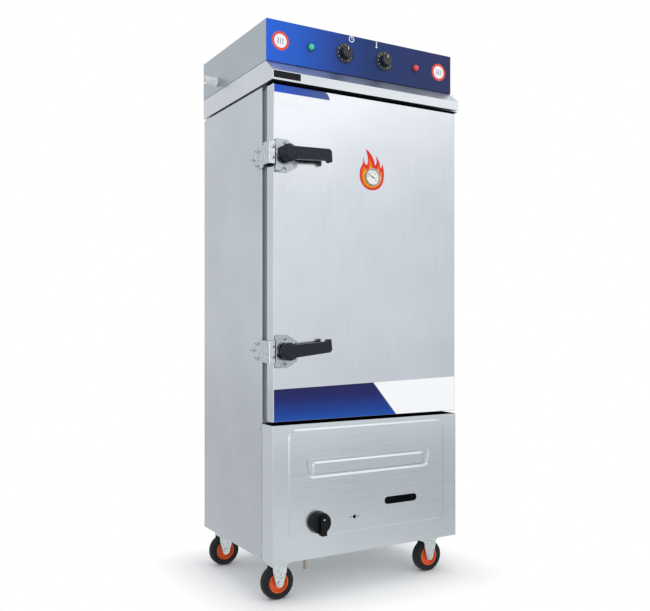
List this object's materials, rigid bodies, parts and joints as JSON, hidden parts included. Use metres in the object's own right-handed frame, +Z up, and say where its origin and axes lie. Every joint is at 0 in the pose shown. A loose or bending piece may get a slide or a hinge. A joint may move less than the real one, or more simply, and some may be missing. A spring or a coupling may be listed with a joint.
{
  "type": "rice steamer cabinet",
  "caption": "Tall insulated steaming cabinet on swivel castors, with one latched door, stacked trays over a heated water basin, a gas ring below and a control housing on top.",
  "frame": {"origin": "on the floor, under the middle of the whole object's bounding box", "axes": "+Z up, +X to the right of someone who faces the door, +Y from the door towards the back"},
  "size_m": [0.7616, 0.5866, 1.764],
  "materials": {
    "stainless_sheet": "brushed",
    "inner_stainless": "satin",
    "galvanised_sheet": "matt",
    "mineral_wool": "fibrous",
    "element_tube": "satin",
    "burner_iron": "rough",
    "valve_brass": "satin",
    "fascia_blue": "semi-gloss",
    "black_plastic": "semi-gloss",
    "green_lens": "clear gloss",
    "red_lens": "clear gloss",
    "inlet_plastic": "satin",
    "polished_steel": "polished",
    "gauge_steel": "satin",
    "needle_dark": "matt",
    "gauge_window": "clear",
    "seal_rubber": "matt",
    "castor_zinc": "satin",
    "hub_orange": "satin",
    "castor_tyre": "matt"
  },
  "bodies": {
    "cabinet": {"back_panel": "stainless_sheet", "base_pan": "galvanised_sheet", "burner_shroud": "inner_stainless", "cabinet_hinge_leaves": "polished_steel", "cabinet_screws": "polished_steel", "canopy": "stainless_sheet", "castor_bolts": "castor_zinc", "castor_plates": "castor_zinc", "chamber_liner": "inner_stainless", "control_housing": "stainless_sheet", "control_panel": "fascia_blue", "gas_pipe": "element_tube", "gas_valve": "valve_brass", "green_lamp": "green_lens", "heating_elements": "element_tube", "lamp_bezels": "black_plastic", "latch_keepers": "polished_steel", "left_side_panel": "stainless_sheet", "lower_front_cover": "stainless_sheet", "opening_rails": "stainless_sheet", "red_lamp": "red_lens", "rice_trays": "inner_stainless", "right_side_panel": "stainless_sheet", "ring_burner": "burner_iron", "switch_bodies": "black_plastic", "tray_racks": "inner_stainless", "wall_insulation": "mineral_wool", "water_inlet_valve": "inlet_plastic", "water_pipe": "element_tube", "water_tank": "inner_stainless"},
    "door": {"door_gasket": "seal_rubber", "door_hinge_leaves": "polished_steel", "door_insulation": "mineral_wool", "door_liner": "inner_stainless", "door_screws": "polished_steel", "door_skin": "stainless_sheet", "gauge_glass": "gauge_window", "hinge_pins": "polished_steel", "latch_bases": "polished_steel", "thermometer_case": "gauge_steel"},
    "front_left_fork": {"front_left_fork": "castor_zinc"},
    "front_left_wheel": {"front_left_hub": "hub_orange", "front_left_tyre": "castor_tyre"},
    "front_right_fork": {"front_right_fork": "castor_zinc"},
    "front_right_wheel": {"front_right_hub": "hub_orange", "front_right_tyre": "castor_tyre"},
    "gas_knob": {"gas_knob": "black_plastic"},
    "lower_latch": {"lower_latch_cam": "polished_steel", "lower_latch_lever": "black_plastic"},
    "rear_left_fork": {"rear_left_fork": "castor_zinc"},
    "rear_left_wheel": {"rear_left_hub": "hub_orange", "rear_left_tyre": "castor_tyre"},
    "rear_right_fork": {"rear_right_fork": "castor_zinc"},
    "rear_right_wheel": {"rear_right_hub": "hub_orange", "rear_right_tyre": "castor_tyre"},
    "thermometer_needle": {"thermometer_needle": "needle_dark"},
    "thermostat_knob": {"thermostat_knob": "black_plastic"},
    "timer_knob": {"timer_knob": "black_plastic"},
    "upper_latch": {"upper_latch_cam": "polished_steel", "upper_latch_lever": "black_plastic"}
  },
  "joints": [
    {"name": "door_hinge", "type": "hinge", "parent": "cabinet", "child": "door", "pos_m": [0.37325, -0.1953, 1.054], "axis": [0, 0, 1], "range_deg": [0, 170]},
    {"name": "upper_latch_turn", "type": "hinge", "parent": "door", "child": "upper_latch", "pos_m": [-0.29325, -0.2653, 1.35], "axis": [0, 1, 0], "range_deg": [0, 90]},
    {"name": "lower_latch_turn", "type": "hinge", "parent": "door", "child": "lower_latch", "pos_m": [-0.29325, -0.2653, 0.758], "axis": [0, 1, 0], "range_deg": [-90, 0]},
    {"name": "needle_turn", "type": "hinge", "parent": "door", "child": "thermometer_needle", "pos_m": [0.01975, -0.2553, 1.31], "axis": [0, 1, 0], "range_deg": [-73, 197]},
    {"name": "timer_turn", "type": "hinge", "parent": "cabinet", "child": "timer_knob", "pos_m": [-0.06125, -0.2148, 1.703], "axis": [0, 1, 0], "range_deg": [0, 300]},
    {"name": "thermostat_turn", "type": "hinge", "parent": "cabinet", "child": "thermostat_knob", "pos_m": [0.09075, -0.2148, 1.703], "axis": [0, 1, 0], "range_deg": [0, 270]},
    {"name": "gas_turn", "type": "hinge", "parent": "cabinet", "child": "gas_knob", "pos_m": [-0.17725, -0.2673, 0.231], "axis": [0, 1, 0], "range_deg": [0, 90]},
    {"name": "front_left_swivel", "type": "hinge", "parent": "cabinet", "child": "front_left_fork", "pos_m": [-0.27125, -0.1953, 0.112], "axis": [0, 0, 1], "continuous": true},
    {"name": "front_left_spin", "type": "hinge", "parent": "front_left_fork", "child": "front_left_wheel", "pos_m": [-0.29325, -0.1953, 0.052], "axis": [0, 1, 0], "continuous": true},
    {"name": "front_right_swivel", "type": "hinge", "parent": "cabinet", "child": "front_right_fork", "pos_m": [0.30075, -0.1953, 0.112], "axis": [0, 0, 1], "continuous": true},
    {"name": "front_right_spin", "type": "hinge", "parent": "front_right_fork", "child": "front_right_wheel", "pos_m": [0.27875, -0.1953, 0.052], "axis": [0, 1, 0], "continuous": true},
    {"name": "rear_left_swivel", "type": "hinge", "parent": "cabinet", "child": "rear_left_fork", "pos_m": [-0.27125, 0.2147, 0.112], "axis": [0, 0, 1], "continuous": true},
    {"name": "rear_left_spin", "type": "hinge", "parent": "rear_left_fork", "child": "rear_left_wheel", "pos_m": [-0.29325, 0.2147, 0.052], "axis": [0, 1, 0], "continuous": true},
    {"name": "rear_right_swivel", "type": "hinge", "parent": "cabinet", "child": "rear_right_fork", "pos_m": [0.30075, 0.2147, 0.112], "axis": [0, 0, 1], "continuous": true},
    {"name": "rear_right_spin", "type": "hinge", "parent": "rear_right_fork", "child": "rear_right_wheel", "pos_m": [0.27875, 0.2147, 0.052], "axis": [0, 1, 0], "continuous": true}
  ]
}
